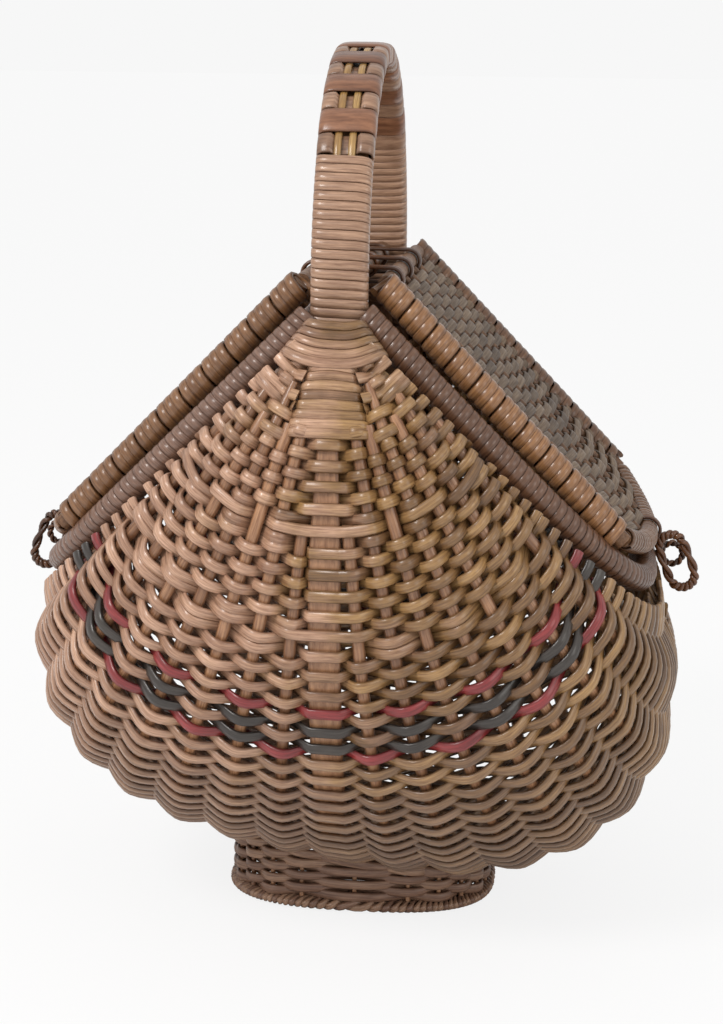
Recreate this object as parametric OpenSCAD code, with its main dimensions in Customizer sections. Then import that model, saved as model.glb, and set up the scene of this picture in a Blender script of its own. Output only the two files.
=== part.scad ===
// Wicker basket with two hinged lids, a rigid arch handle and an oval foot.
// Millimetres. X runs left to right, Y front to back, Z up.
// The origin is on the ground at the middle of the basket.
// Every rib lies in a plane through the ear line, the straight line between the two ears.

/* [Body] */
// Drop of the middle rib below the ears
belly_drop = 276; // [250:2:330]
// Front to back size of the middle rib
belly_depth = 284; // [250:2:340]
// Distance between the front and the back ear
ear_span = 200; // [180:2:220]
// Drop of the rims below the ears, along their own slope
rim_drop = 190; // [186:1:200]
// Front to back opening between the rims
rim_depth = 200; // [196:1:214]
// Angle of the rims from straight down
rim_tilt = 45; // [44:0.5:46]
// Extra drop half way between the middle rib and the rims
belly_swell = 60; // [50:1:70]
// How much deeper the right side of the belly hangs than a true form
belly_lean = 9; // [0:1:10]

/* [Ribs and weave] */
// Number of ribs on each side
rib_count = 7; // [7:1:7]
// Diameter of a rib
rib_d = 5.5; // [4:0.1:6]
// Diameter of a rim rod
rim_d = 10; // [8:0.2:10.4]
// Width of the middle rib, which is a flat cane
spine_w = 14; // [10:0.5:15]
// Thickness of the middle rib
spine_t = 4; // [3:0.1:5]
// Thickness of the woven skin outside the ribs
weave_t = 2; // [1.6:0.1:2.6]

/* [Handle] */
// Radius of the handle arch, at the middle of its core
handle_r = 97.5; // [90:0.5:99]
// Width of the wrapped handle
handle_w = 25; // [20:0.5:25]
// Thickness of the wrapped handle
handle_t = 10.9; // [10:0.1:13]
// Width of the cane core
core_w = 20; // [14:0.5:21]
// Thickness of the cane core
core_t = 5; // [4:0.1:6]
// Number of lengthwise strands on the outer face of the core
strand_count = 4; // [2:1:4]
// Thickness of a lengthwise strand
strand_t = 1.6; // [1:0.1:2]
// Length of the lashing below each ear
lashing_h = 16; // [10:1:18]

/* [Lids] */
// Slope of a closed lid below the horizontal
lid_slope = 46; // [45.5:0.1:46.5]
// Length of a lid down its slope at its front and back edges
lid_length = 147; // [120:1:150]
// How far the outer edge bows out past the ends of the side rods
lid_bow = 22; // [10:1:24]
// Distance between the front and the back rod of a lid
lid_width = 176; // [150:2:178]
// Diameter of a wrapped side rod
side_wrap_d = 11.4; // [10:0.2:11.8]
// Diameter of a bare side rod
side_rod_d = 7.8; // [6:0.2:8]
// Diameter of the wrapped outer rod
outer_wrap_d = 10.4; // [9:0.2:10.6]
// Diameter of the bare outer rod
outer_rod_d = 7.4; // [6:0.2:7.6]
// Diameter of a hinge rod
hinge_rod_d = 8; // [6:0.2:8]
// Bare end of a side rod that sticks out of its wrap
rod_end = 5; // [2:0.5:6]
// Number of stakes in a lid
stake_count = 7; // [7:1:7]
// Diameter of a lid stake
stake_d = 4; // [3:0.1:4.4]
// Thickness of the woven sheet of a lid
lid_weave_t = 2.4; // [1.8:0.1:3]

/* [Ridge and hinge loops] */
// Diameter of the bar between the ears
ridge_d = 9; // [7:0.5:10]
// Cane thickness of a hinge loop
hinge_loop_t = 2; // [1.4:0.1:2.2]
// Width of a hinge loop along the bar
hinge_loop_w = 7; // [5:0.5:8]

/* [Closing loops] */
// Diameter of the twisted cane of a lid loop
twist_d = 4.4; // [3:0.1:4.6]
// Straight length of a lid loop between its round ends
loop_run = 14; // [10:1:16]
// Radius of the round ends, at the middle of the cane
loop_r = 6.2; // [5.8:0.1:7]
// Lean of a hanging lid loop away from the belly's side
loop_lean = 10.5; // [9:0.5:18]
// Diameter of the twisted cane of a rim loop
rim_twist_d = 3.4; // [2.6:0.1:3.6]
// Radius of a rim loop, at the middle of the cane
rim_loop_r = 5; // [4:0.1:5.4]

/* [Foot] */
// Height of the foot below the middle rib
foot_h = 22; // [16:1:34]
// Width of the foot
foot_w = 130; // [110:2:144]
// Depth of the foot
foot_d = 98; // [84:2:112]
// Height of the border that the foot stands on
border_h = 6; // [4:0.5:8]
// Width of the border
border_w = 11; // [10.5:0.5:13]
// Number of stakes in the foot
foot_stakes_n = 22; // [16:1:24]
// How far the foot sits to the right of the ears
foot_shift = 4; // [0:1:6]

/* [Hidden] */

fit = 0.1;          // gap between pieces that are fixed together
swing = 0.3;        // gap between pieces that turn past each other
room = 0.4;         // gap beside a curved face that is built of flats
tan_cane = "#b08862";
pink_cane = "#c49a80";
brown_cane = "#8a6a4a";
grey_cane = "#7d6a55";
dark_cane = "#5a4030";

// The body's form
foot_gap = 2;                          // body underside above the top of a bare foot wall
ear_z = belly_drop + foot_h + foot_gap;
ear_y = ear_span / 2;
rib_r = rib_d / 2;
rim_r = rim_d / 2;
skin_in = rib_r + 2 * room;            // the woven skin starts just outside the ribs
skin_out = skin_in + weave_t;
rib_step = rim_tilt / (rib_count + 1);
swell_power = 3.26;                    // how late the belly turns in towards the rims
form_power = 2.2;                      // squareness of the middle rib's outline
rim_power = 3.4;                       // squareness of a rim's outline
turns = 4;                             // the lean swings to each side once in a right angle

// Share of the way from the middle rib to a rim, for a rib plane at angle a
function share(a) = min(1, abs(a) / rim_tilt);
function drop_of(a) = belly_drop + belly_swell * pow(share(a), 2)
    - (belly_drop + belly_swell - rim_drop) * pow(share(a), swell_power)
    + belly_lean * sin(turns * a * 45 / rim_tilt);
rim_half = rim_depth / 2 + rim_r;            // to the middle of a rim's rod
function half_depth(a) = rim_half + (belly_depth / 2 - rim_half) * (1 - pow(share(a), 4));
function power_of(a) = form_power + (rim_power - form_power) * pow(share(a), 4);
// Each rib is a superellipse through both ears: its middle lies below the ear line
function ear_ratio(a) = let (n = power_of(a)) pow(1 - pow(ear_y / half_depth(a), n), 1 / n);
function mid_of(a) = drop_of(a) * ear_ratio(a) / (1 + ear_ratio(a));
function reach_of(a) = drop_of(a) - mid_of(a);
function signed_pow(x, p) = sign(x) * pow(abs(x), p);
// Place on a rib at turn t about its middle: 0 is the front, 90 the bottom, 180 the back
function radius_at(a, t) = let (n = power_of(a))
    pow(pow(abs(cos(t)) / half_depth(a), n) + pow(abs(sin(t)) / reach_of(a), n), -1 / n);
function along(a, t) = -radius_at(a, t) * cos(t);
function below(a, t) = mid_of(a) + radius_at(a, t) * sin(t);
// Half the front to back size of a rib at the distance v below the ears
function half_at(a, v) = let (n = power_of(a))
    half_depth(a) * pow(1 - pow(abs(v - mid_of(a)) / reach_of(a), n), 1 / n);
// Turn at which a rib is the distance d below the ear line
function start_turn(a, d) = -atan2(mid_of(a) - d, half_at(a, d));
function down(a) = [sin(a), 0, -cos(a)];
function sideways(a) = [cos(a), 0, sin(a)];
function place(a, u, v) = [0, u, ear_z] + v * down(a);
function form(a, u, v) = let (n = power_of(a))
    pow(abs(u) / half_depth(a), n) + pow(abs(v - mid_of(a)) / reach_of(a), n);
function unit(v) = v / norm(v);
function flat_normal(a, u, v) = let (n = power_of(a), w = v - mid_of(a))
    [sign(u) * pow(abs(u) / half_depth(a), n - 1) / half_depth(a),
     sign(w) * pow(abs(w) / reach_of(a), n - 1) / reach_of(a)];
// Outward direction inside a rib's own plane, and square to the whole surface
function rib_out(a, u, v) = let (g = flat_normal(a, u, v)) unit([0, g[0], 0] + g[1] * down(a));
function skin_out_dir(a, u, v) = let (
        g = flat_normal(a, u, v),
        n = power_of(a),
        step = 0.2,
        turn = (form(a + step, u, v) - form(a - step, u, v)) / (2 * step * PI / 180) / v / n)
    unit([0, g[0], 0] + g[1] * down(a) + turn * sideways(a));

// Rods in rib planes
rod_rings = 34;
rod_sides = 8;
tip_slope = 0.045;                           // a rib's tip thins towards the ear
spine_tip = spine_w / 14;                    // half width of the middle rib at the ears
spine_slope = 0.055 * spine_tip;
// The ribs beside the middle one start where they clear it
first_rib = (rib_r + spine_tip + room) / (sin(rib_step) - spine_slope);
rib_first = [first_rib, 40, 56, 40, 56, 44, 68];   // where each rib starts below the ears
rim_first = 24;
spine_first = spine_t / 2 + fit;
function rib_radius(v) = min(rib_r, v * tip_slope);
function spine_half(v) = min(spine_w / 2, spine_tip + v * spine_slope);

// A closed rod along a rib's outline; section(v) gives its [side, out] outline at depth v
module bent_rod(a, first, section) {
    t0 = start_turn(a, first);
    rings = [for (i = [0:rod_rings]) let (
            t = t0 + (180 - 2 * t0) * i / rod_rings,
            u = along(a, t), v = below(a, t),
            p = place(a, u, v), out = rib_out(a, u, v), side = sideways(a))
        [for (s = section(v)) p + s[0] * side + s[1] * out]];
    loft(rings);
}
// A closed solid through rings of points, all with the same count
module loft(rings) {
    n = len(rings[0]);
    last = len(rings) - 1;
    polyhedron(
        points = [for (r = rings) each r],
        faces = concat(
            [[for (k = [0:n - 1]) k]],
            [for (i = [0:last - 1], k = [0:n - 1]) let (k2 = (k + 1) % n)
                [i * n + k, (i + 1) * n + k, (i + 1) * n + k2, i * n + k2]],
            [[for (k = [n - 1:-1:0]) last * n + k]]),
        convexity = 6);
}
function round_section(r, sides) =
    [for (k = [0:sides - 1]) let (w = 360 * (k + 0.5) / sides) r * [cos(w), sin(w)]];

module rib(side, i) {
    color(side > 0 ? brown_cane : pink_cane)
        bent_rod(side * i * rib_step, rib_first[i - 1],
                 function(v) round_section(rib_radius(v), rod_sides));
}
module rim(side) {
    color(tan_cane)
        bent_rod(side * rim_tilt, rim_first, function(v) round_section(rim_r, 10));
}
module spine() {
    color(tan_cane)
        bent_rod(0, spine_first, function(v) let (w = spine_half(v), t = spine_t / 2)
                 [[w, -t], [w, t], [-w, t], [-w, -t]]);
}

// The woven skin: a closed shell outside the ribs, open at the top between the rims
skin_first = 27;
skin_rows = 40;
skin_columns = 30;
edge_gap = rim_r + 3.5 * room;             // from the rim's middle to the skin's edge
function skin_turn(a, q) = let (t0 = start_turn(a, skin_first)) t0 + (180 - 2 * t0) * q;
function skin_place(a, q) = let (t = skin_turn(a, q)) place(a, along(a, t), below(a, t));
// Distance from a place on the skin to the nearest of a few places on the rim beside it
function rim_distance(p, side, q) = min([for (s = [-7:7]) let (r = max(0, min(1, q + s * 0.006)))
    norm(p - skin_place(side * rim_tilt, r))]);
// Angle at which the skin stops, found by halving, so that it clears the rim
function edge_angle(side, q, low = 0, high = rim_tilt, n = 14) = n == 0 ? low
    : let (m = (low + high) / 2)
      rim_distance(skin_place(side * m, q), side, q) > edge_gap
        ? edge_angle(side, q, m, high, n - 1) : edge_angle(side, q, low, m, n - 1);
function skin_point(a, q, off) = let (t = skin_turn(a, q), u = along(a, t), v = below(a, t))
    place(a, u, v) + off * skin_out_dir(a, u, v);
module body_weave() {
    edges = [for (j = [0:skin_rows]) [edge_angle(-1, j / skin_rows), edge_angle(1, j / skin_rows)]];
    // each ring runs up the inside face and back down the outside face
    rings = [for (j = [0:skin_rows]) let (q = j / skin_rows) concat(
        [for (i = [0:skin_columns]) let (f = 2 * i / skin_columns - 1)
            skin_point(f * edges[j][f < 0 ? 0 : 1], q, skin_in)],
        [for (i = [skin_columns:-1:0]) let (f = 2 * i / skin_columns - 1)
            skin_point(f * edges[j][f < 0 ? 0 : 1], q, skin_out)])];
    n = len(rings[0]);
    color(tan_cane) polyhedron(
        points = [for (r = rings) each r],
        faces = concat(
            // the front end, as a strip between the two faces
            [for (i = [0:skin_columns - 1]) [i, i + 1, n - 2 - i, n - 1 - i]],
            [for (j = [0:skin_rows - 1], k = [0:n - 1]) let (k2 = (k + 1) % n)
                [j * n + k, (j + 1) * n + k, (j + 1) * n + k2, j * n + k2]],
            [for (i = [0:skin_columns - 1]) let (b = skin_rows * n)
                [b + n - 1 - i, b + n - 2 - i, b + i + 1, b + i]]),
        convexity = 8);
}

// Handle
wrap_shift = 0.95;                          // the strands push the wrap outwards
wrap_in = handle_r - handle_t / 2 + wrap_shift;
wrap_out = wrap_in + handle_t;
core_in = handle_r - core_t / 2;
core_out = handle_r + core_t / 2;
strand_in = core_out + fit;
strand_out = strand_in + strand_t;
// An arch between the ears, of a rectangle from radius r0 to r1
module arch(r0, r1, w) {
    translate([0, 0, ear_z]) rotate([90, 0, 90])
        rotate_extrude(angle = 180, $fn = 120)
            translate([r0, -w / 2]) square([r1 - r0, w]);
}
module handle_core() color(tan_cane) arch(core_in, core_out, core_w);
module handle_strands() {
    pitch = core_w / strand_count;
    strand_w = pitch - 1;
    color(pink_cane) for (i = [0:strand_count - 1])
        translate([(i + 0.5) * pitch - core_w / 2, 0, 0]) arch(strand_in, strand_out, strand_w);
}
module handle_wrap() color(brown_cane) difference() {
    arch(wrap_in, wrap_out, handle_w);
    arch(core_in - fit, strand_out + fit, core_w + 2 * fit);
}
// The lashing below an ear is notched where the middle rib runs out through it
function inner_face(v) = let (u = half_at(0, v))
    u - spine_t / 2 / rib_out(0, u, v)[1] - 2 * swing;
module ear_lashing(side) color(tan_cane) mirror([0, side < 0 ? 1 : 0, 0]) difference() {
    translate([-handle_w / 2, wrap_in, ear_z - lashing_h])
        cube([handle_w, wrap_out - wrap_in, lashing_h - fit]);
    notch = 2 * (spine_half(lashing_h) + swing);
    translate([-notch / 2, 0, ear_z]) rotate([90, 0, 90]) linear_extrude(height = notch)
        polygon([[inner_face(0), 1], [inner_face(lashing_h), -lashing_h],
                 [wrap_out + lashing_h, -lashing_h], [wrap_out + lashing_h, 1]]);
}

// Ridge and hinges
hinge_x = handle_w / 2 + side_wrap_d / 2 + swing;   // the lids open past the handle
hinge_r = hinge_rod_d / 2;
ridge_r = ridge_d / 2;
loop_pitch = 12;
module ridge_bar() color(brown_cane)
    translate([0, 0, ear_z]) rotate([90, 0, 0])
        cylinder(h = 2 * (wrap_in - 0.5), r = ridge_r, center = true, $fn = 48);
module hinge_loop(side, y) translate([0, y, ear_z]) rotate([90, 0, 0])
    linear_extrude(height = hinge_loop_w, center = true) difference() {
        union() {
            circle(r = ridge_r + fit + hinge_loop_t, $fn = 48);
            translate([side * hinge_x, 0]) circle(r = hinge_r + swing + hinge_loop_t, $fn = 48);
            translate([side * hinge_x / 2, 0]) square([hinge_x, hinge_r], center = true);
        }
        circle(r = ridge_r + fit, $fn = 48);
        translate([side * hinge_x, 0]) circle(r = hinge_r + swing, $fn = 48);
    }
// The loops of the two lids take turns along the bar
module hinge_loops(side) color(dark_cane) for (k = [-5:4:3])
    hinge_loop(side, side * k * loop_pitch);

// A lid, in its own frame: X down the slope, Y along the hinge, Z away from the basket
module on_lid(side) {
    mirror([side < 0 ? 1 : 0, 0, 0])
        translate([hinge_x, 0, ear_z]) rotate([0, lid_slope, 0]) children();
}
side_y = lid_width / 2;
side_r = side_rod_d / 2;
side_wrap_r = side_wrap_d / 2;
outer_r = outer_rod_d / 2;
outer_wrap_r = outer_wrap_d / 2;
side_start = -1;                        // the side rods start just inside the hinge line
bow_r = (pow(side_y, 2) + pow(lid_bow, 2)) / (2 * lid_bow);
bow_x = lid_length + lid_bow - bow_r;   // middle of the outer rod's arc
inner_y = side_y - side_wrap_r - swing; // what lies between the side rods ends here
weave_low = stake_d / 2 + fit;
panel_first = hinge_r + swing + hinge_loop_t + 0.7;
panel_r = bow_r - outer_wrap_r - swing;
function bow_edge(y, r) = bow_x + sqrt(r * r - y * y);

module lid_hinge_rod(side) color(grey_cane) on_lid(side)
    rotate([90, 0, 0]) cylinder(h = 2 * inner_y, r = hinge_r, center = true, $fn = 48);
module lid_side_rod(side, end) color(brown_cane) on_lid(side)
    translate([side_start, end * side_y, 0]) rotate([0, 90, 0])
        cylinder(h = lid_length + rod_end - 1 - side_start, r = side_r, $fn = 48);
module lid_side_wraps(side) color(tan_cane) on_lid(side) for (end = [-1, 1])
    translate([side_start, end * side_y, 0]) rotate([0, 90, 0]) difference() {
        cylinder(h = lid_length - 1 - side_start, r = side_wrap_r, $fn = 48);
        translate([0, 0, -1]) cylinder(h = lid_length + 2, r = side_r + fit, $fn = 48);
    }
outer_turn = asin(inner_y / bow_r);
wrap_turn = outer_turn - 0.9;
module bow(turn) translate([bow_x, 0, 0])
    rotate_extrude(angle = 2 * turn, start = -turn, $fn = 180) translate([bow_r, 0]) children();
module lid_outer_rod(side) color(brown_cane) on_lid(side)
    bow(outer_turn) circle(r = outer_r, $fn = 48);
module lid_outer_wrap(side) color(tan_cane) on_lid(side) bow(wrap_turn) difference() {
    circle(r = outer_wrap_r, $fn = 48);
    circle(r = outer_r + fit, $fn = 48);
}
stake_pitch = 2 * loop_pitch;
stake_first = hinge_r + fit;
collar_t = 1.6;                         // cane of the collar that carries a closing loop
collar_w = 5;
collar_in = outer_wrap_r + swing;
collar_out = collar_in + collar_t;
notch_w = collar_w + 2 * swing;         // the sheet and the middle stake leave room for it
notch_r = bow_r - collar_out - swing;
module lid_stakes(side) color(grey_cane) on_lid(side)
    for (i = [0:stake_count - 1]) let (
            y = (i - (stake_count - 1) / 2) * stake_pitch,
            reach = abs(y) < (notch_w + stake_d) / 2 ? notch_r : panel_r)
        translate([stake_first, y, 0]) rotate([0, 90, 0])
            cylinder(h = bow_edge(abs(y) + stake_d / 2, reach) - stake_first,
                     r = stake_d / 2, $fn = 32);
edge_points = 24;
module lid_weave(side) color(grey_cane) on_lid(side) translate([0, 0, weave_low])
    linear_extrude(height = lid_weave_t) difference() {
        polygon(concat(
            [[panel_first, inner_y], [panel_first, -inner_y]],
            [for (i = [0:edge_points]) let (y = inner_y * (2 * i / edge_points - 1))
                [bow_edge(y, panel_r), y]]));
        translate([bow_x + notch_r, -notch_w / 2]) square([lid_bow, notch_w]);
    }

// Closing loops of twisted cane
twist_r = twist_d / 2;
// A lid loop hangs from a collar on the outer rod, and leans out past the belly's side
pivot_x = hinge_x + (lid_length + lid_bow) * cos(lid_slope);
pivot_z = ear_z - (lid_length + lid_bow) * sin(lid_slope);
side_plane = 38;                        // angle of the plane where the belly stands out most
side_drop = drop_of(side_plane) + skin_out;
belly_lean_out = atan2(side_drop * sin(side_plane) - pivot_x,
                       pivot_z - ear_z + side_drop * cos(side_plane));
module lid_loop(side) {
    top = -collar_out - loop_r + 1.5;
    shift = loop_r + 2;
    color(dark_cane) mirror([side < 0 ? 1 : 0, 0, 0])
        translate([pivot_x, 0, pivot_z])
            rotate([0, -loop_lean - belly_lean_out, 0]) difference() {
                union() {
                    rotate([90, 0, 0]) cylinder(h = collar_w, r = collar_out, center = true, $fn = 48);
                    for (end = [0, 1])
                        translate([shift, 0, top - end * loop_run]) rotate([90, 0, 0])
                            rotate_extrude(angle = 180, start = end * 180, $fn = 64)
                                translate([loop_r, 0]) circle(r = twist_r, $fn = 32);
                    for (x = [-loop_r, loop_r]) translate([shift + x, 0, top - loop_run])
                        cylinder(h = loop_run, r = twist_r, $fn = 32);
                }
                rotate([90, 0, 0]) cylinder(h = collar_w + 2, r = collar_in, center = true, $fn = 48);
            }
}
// A rim loop stands out from the rim on a short neck, beside the lid loop
rim_loop_y = 9;
rim_loop_out = 9.2;    // middle of the loop outside the rim rod's face
neck = 0.8;            // share of the cane's thickness that is left in the neck
module rim_loop(side) {
    rim_x = drop_of(side * rim_tilt) * sin(rim_tilt);
    rim_z = ear_z - drop_of(side * rim_tilt) * cos(rim_tilt);
    twist = rim_twist_d / 2;
    color(dark_cane) mirror([side < 0 ? 1 : 0, 0, 0])
        translate([rim_x + rim_r + rim_loop_out, rim_loop_y, rim_z]) {
            rotate([90, 0, 0]) rotate_extrude($fn = 64)
                translate([rim_loop_r, 0]) circle(r = twist, $fn = 32);
            translate([room + fit - rim_loop_out, 0, 0]) rotate([0, 90, 0])
                cylinder(h = rim_loop_out - rim_loop_r - fit - room, r = neck * twist, $fn = 32);
        }
}

// Foot
foot_power = 2.9;
foot_points = 64;
foot_wall = 6;
wall_inset = 2;
function foot_at(w, half_x, half_y) = [
    foot_shift + half_x * signed_pow(cos(w), 2 / foot_power),
    half_y * signed_pow(sin(w), 2 / foot_power)];
function foot_outline(inset) = [for (k = [0:foot_points - 1])
    foot_at(360 * k / foot_points, foot_w / 2 - inset, foot_d / 2 - inset)];
// Depth below the ear line, along a rib plane, of the surface at a given u
function depth_at(a, u) = let (n = power_of(a))
    mid_of(a) + reach_of(a) * pow(1 - pow(abs(u) / half_depth(a), n), 1 / n);
function plane_at(x, y, a = 10, n = 12) = n == 0 ? a
    : plane_at(x, y, asin(max(-0.9, min(0.9, x / depth_at(a, y)))), n - 1);
function underside(x, y) = let (a = plane_at(x, y), v = depth_at(a, y),
        lean = -skin_out_dir(a, y, v)[2])
    ear_z - v * cos(a) - skin_out / lean - room;
module foot_ring(outer, inner, h) linear_extrude(height = h) difference() {
    polygon(foot_outline(outer));
    polygon(foot_outline(inner));
}
module foot_border() color(dark_cane) foot_ring(0, border_w, border_h);
module foot_weave() {
    outer = foot_outline(wall_inset);
    inner = foot_outline(wall_inset + foot_wall);
    low = border_h + fit;
    rings = [for (k = [0:foot_points - 1]) let (o = outer[k], i = inner[k])
        [[i[0], i[1], low], [i[0], i[1], underside(i[0], i[1])],
         [o[0], o[1], underside(o[0], o[1])], [o[0], o[1], low]]];
    color(brown_cane) difference() {
        polyhedron(
            points = [for (r = rings) each r],
            faces = [for (k = [0:foot_points - 1], e = [0:3])
                let (k2 = (k + 1) % foot_points, e2 = (e + 1) % 4)
                [k * 4 + e, k * 4 + e2, k2 * 4 + e2, k2 * 4 + e]],
            convexity = 6);
        for (p = stake_places) translate([p[0], p[1], border_h])
            cylinder(h = ear_z, r = foot_stake_r + fit, $fn = 24);
    }
}
// The stakes stand inside the wall that is woven round them
foot_stake_r = 1.2;
stake_inset = wall_inset + foot_wall / 2;
stake_places = [for (k = [0:foot_stakes_n - 1])
    foot_at(360 * (k + 0.5) / foot_stakes_n, foot_w / 2 - stake_inset, foot_d / 2 - stake_inset)];
module foot_stakes() color(grey_cane) for (p = stake_places) let (
        low = border_h + fit, high = underside(p[0], p[1]) - room)
    translate([p[0], p[1], low]) cylinder(h = high - low, r = foot_stake_r, $fn = 24);

handle_core();
handle_strands();
handle_wrap();
ear_lashing(-1);  // ear_lashing_front
ear_lashing(1);  // ear_lashing_back
ridge_bar();
spine();
rib(-1, 1);  // rib_left_1
rib(-1, 2);  // rib_left_2
rib(-1, 3);  // rib_left_3
rib(-1, 4);  // rib_left_4
rib(-1, 5);  // rib_left_5
rib(-1, 6);  // rib_left_6
rib(-1, 7);  // rib_left_7
rib(1, 1);  // rib_right_1
rib(1, 2);  // rib_right_2
rib(1, 3);  // rib_right_3
rib(1, 4);  // rib_right_4
rib(1, 5);  // rib_right_5
rib(1, 6);  // rib_right_6
rib(1, 7);  // rib_right_7
rim(-1);  // rim_left
rim(1);  // rim_right
body_weave();
foot_border();
foot_weave();
foot_stakes();
hinge_loops(-1);  // hinge_loops_left
hinge_loops(1);  // hinge_loops_right
rim_loop(-1);  // rim_loop_left
rim_loop(1);  // rim_loop_right
lid_hinge_rod(-1);  // lid_left_hinge_rod
lid_side_rod(-1, -1);  // lid_left_front_rod
lid_side_rod(-1, 1);  // lid_left_back_rod
lid_outer_rod(-1);  // lid_left_outer_rod
lid_side_wraps(-1);  // lid_left_side_wraps
lid_outer_wrap(-1);  // lid_left_outer_wrap
lid_stakes(-1);  // lid_left_stakes
lid_weave(-1);  // lid_left_weave
lid_loop(-1);  // lid_left_loop
lid_hinge_rod(1);  // lid_right_hinge_rod
lid_side_rod(1, -1);  // lid_right_front_rod
lid_side_rod(1, 1);  // lid_right_back_rod
lid_outer_rod(1);  // lid_right_outer_rod
lid_side_wraps(1);  // lid_right_side_wraps
lid_outer_wrap(1);  // lid_right_outer_wrap
lid_stakes(1);  // lid_right_stakes
lid_weave(1);  // lid_right_weave
lid_loop(1);  // lid_right_loop
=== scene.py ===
# %% [markdown]
# # A wicker creel with two lids
# The real basket is built on ribs that fan out from two ears, with thin reeds woven over and under
# them. In CAD every rib and rod is a true solid and the weave is one closed skin.
# Here each reed becomes a strand of its own, laid over and under the ribs as on the real basket.
# A bump pattern on the skin would be quicker, but its outline would stay smooth, and the reeds of
# this basket stand out from the belly and show the dark inside between them.

# %% Load the frame
import math
import bpy
import numpy as np
from mathutils import Matrix, Vector


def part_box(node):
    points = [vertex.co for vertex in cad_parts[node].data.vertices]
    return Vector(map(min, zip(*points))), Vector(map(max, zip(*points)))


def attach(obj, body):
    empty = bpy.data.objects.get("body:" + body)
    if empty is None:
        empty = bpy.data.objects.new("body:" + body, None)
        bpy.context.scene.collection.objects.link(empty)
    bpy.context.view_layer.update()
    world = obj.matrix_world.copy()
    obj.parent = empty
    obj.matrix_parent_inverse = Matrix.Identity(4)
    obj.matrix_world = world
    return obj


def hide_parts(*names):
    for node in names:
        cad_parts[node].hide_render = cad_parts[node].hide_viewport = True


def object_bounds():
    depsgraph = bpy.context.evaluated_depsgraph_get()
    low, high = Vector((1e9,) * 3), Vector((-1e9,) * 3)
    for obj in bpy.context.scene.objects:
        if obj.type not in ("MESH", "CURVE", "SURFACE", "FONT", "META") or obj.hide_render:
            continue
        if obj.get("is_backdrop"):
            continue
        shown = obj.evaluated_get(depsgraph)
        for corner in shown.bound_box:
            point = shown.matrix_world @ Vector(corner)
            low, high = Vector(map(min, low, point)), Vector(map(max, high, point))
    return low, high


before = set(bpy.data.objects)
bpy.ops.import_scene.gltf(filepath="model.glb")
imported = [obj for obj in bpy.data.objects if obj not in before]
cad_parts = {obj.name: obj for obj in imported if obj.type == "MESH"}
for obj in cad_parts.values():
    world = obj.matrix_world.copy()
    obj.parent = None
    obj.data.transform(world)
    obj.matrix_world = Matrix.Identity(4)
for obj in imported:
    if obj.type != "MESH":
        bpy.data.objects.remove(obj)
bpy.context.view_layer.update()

# %% [markdown]
# ## The camera
# The photograph looks along the basket from in front of one ear, a little to the right of it and
# slightly from above, through a fairly long lens. The camera is placed first, so that every step
# below can be looked at from the same place. Its values were fitted to the outline of the basket.

# %% Camera
camera = bpy.data.objects.new("camera", bpy.data.cameras.new("camera"))
bpy.context.scene.collection.objects.link(camera)
bpy.context.scene.camera = camera
azimuth, distance, eye_z = math.radians(5.8), 1.0076, 0.3931
pitch, roll, focal_px = math.radians(9.083), math.radians(0.718), 2152.0
camera.data.sensor_width = 36
camera.data.lens = focal_px / 1024 * camera.data.sensor_width
camera.data.shift_y = -0.1
camera.matrix_world = (
    Matrix.Translation((distance * math.sin(azimuth), -distance * math.cos(azimuth), eye_z))
    @ Matrix.Rotation(azimuth, 4, "Z")
    @ Matrix.Rotation(math.pi / 2 - pitch, 4, "X")
    @ Matrix.Rotation(roll, 4, "Z"))
print("camera lens", round(camera.data.lens, 1), "mm")

# %% [markdown]
# ## One tree for every reed
# A reed is a long strip with a rounded section that follows a path. Geometry Nodes does this well:
# the path comes in as plain edges, becomes a curve, and a small outline is swept along it.
# Each point of a path carries the direction that its flat face looks in, and a size, so the reed
# can thin out near the ears. The tree gives each reed a random tone and keeps two more values
# for the materials: how far along the reed a place is, and how far across it.

# %% The tree that sweeps reeds
def link_chain(tree, *nodes):
    for a, b in zip(nodes, nodes[1:]):
        tree.links.new(a.outputs[0], b.inputs[0])

def math_node(tree, operation, a, b=None):
    node = tree.nodes.new("ShaderNodeMath")
    node.operation = operation
    for socket, value in zip(node.inputs, (a, b)):
        if isinstance(value, bpy.types.NodeSocket):
            tree.links.new(value, socket)
        elif value is not None:
            socket.default_value = value
    return node.outputs[0]

def named(tree, name, kind="FLOAT"):
    node = tree.nodes.new("GeometryNodeInputNamedAttribute")
    node.data_type = kind
    node.inputs["Name"].default_value = name
    return node.outputs["Attribute"]

def store(tree, name, value):
    node = tree.nodes.new("GeometryNodeStoreNamedAttribute")
    node.data_type, node.domain = "FLOAT", "POINT"
    node.inputs["Name"].default_value = name
    tree.links.new(value, node.inputs["Value"])
    return node

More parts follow.
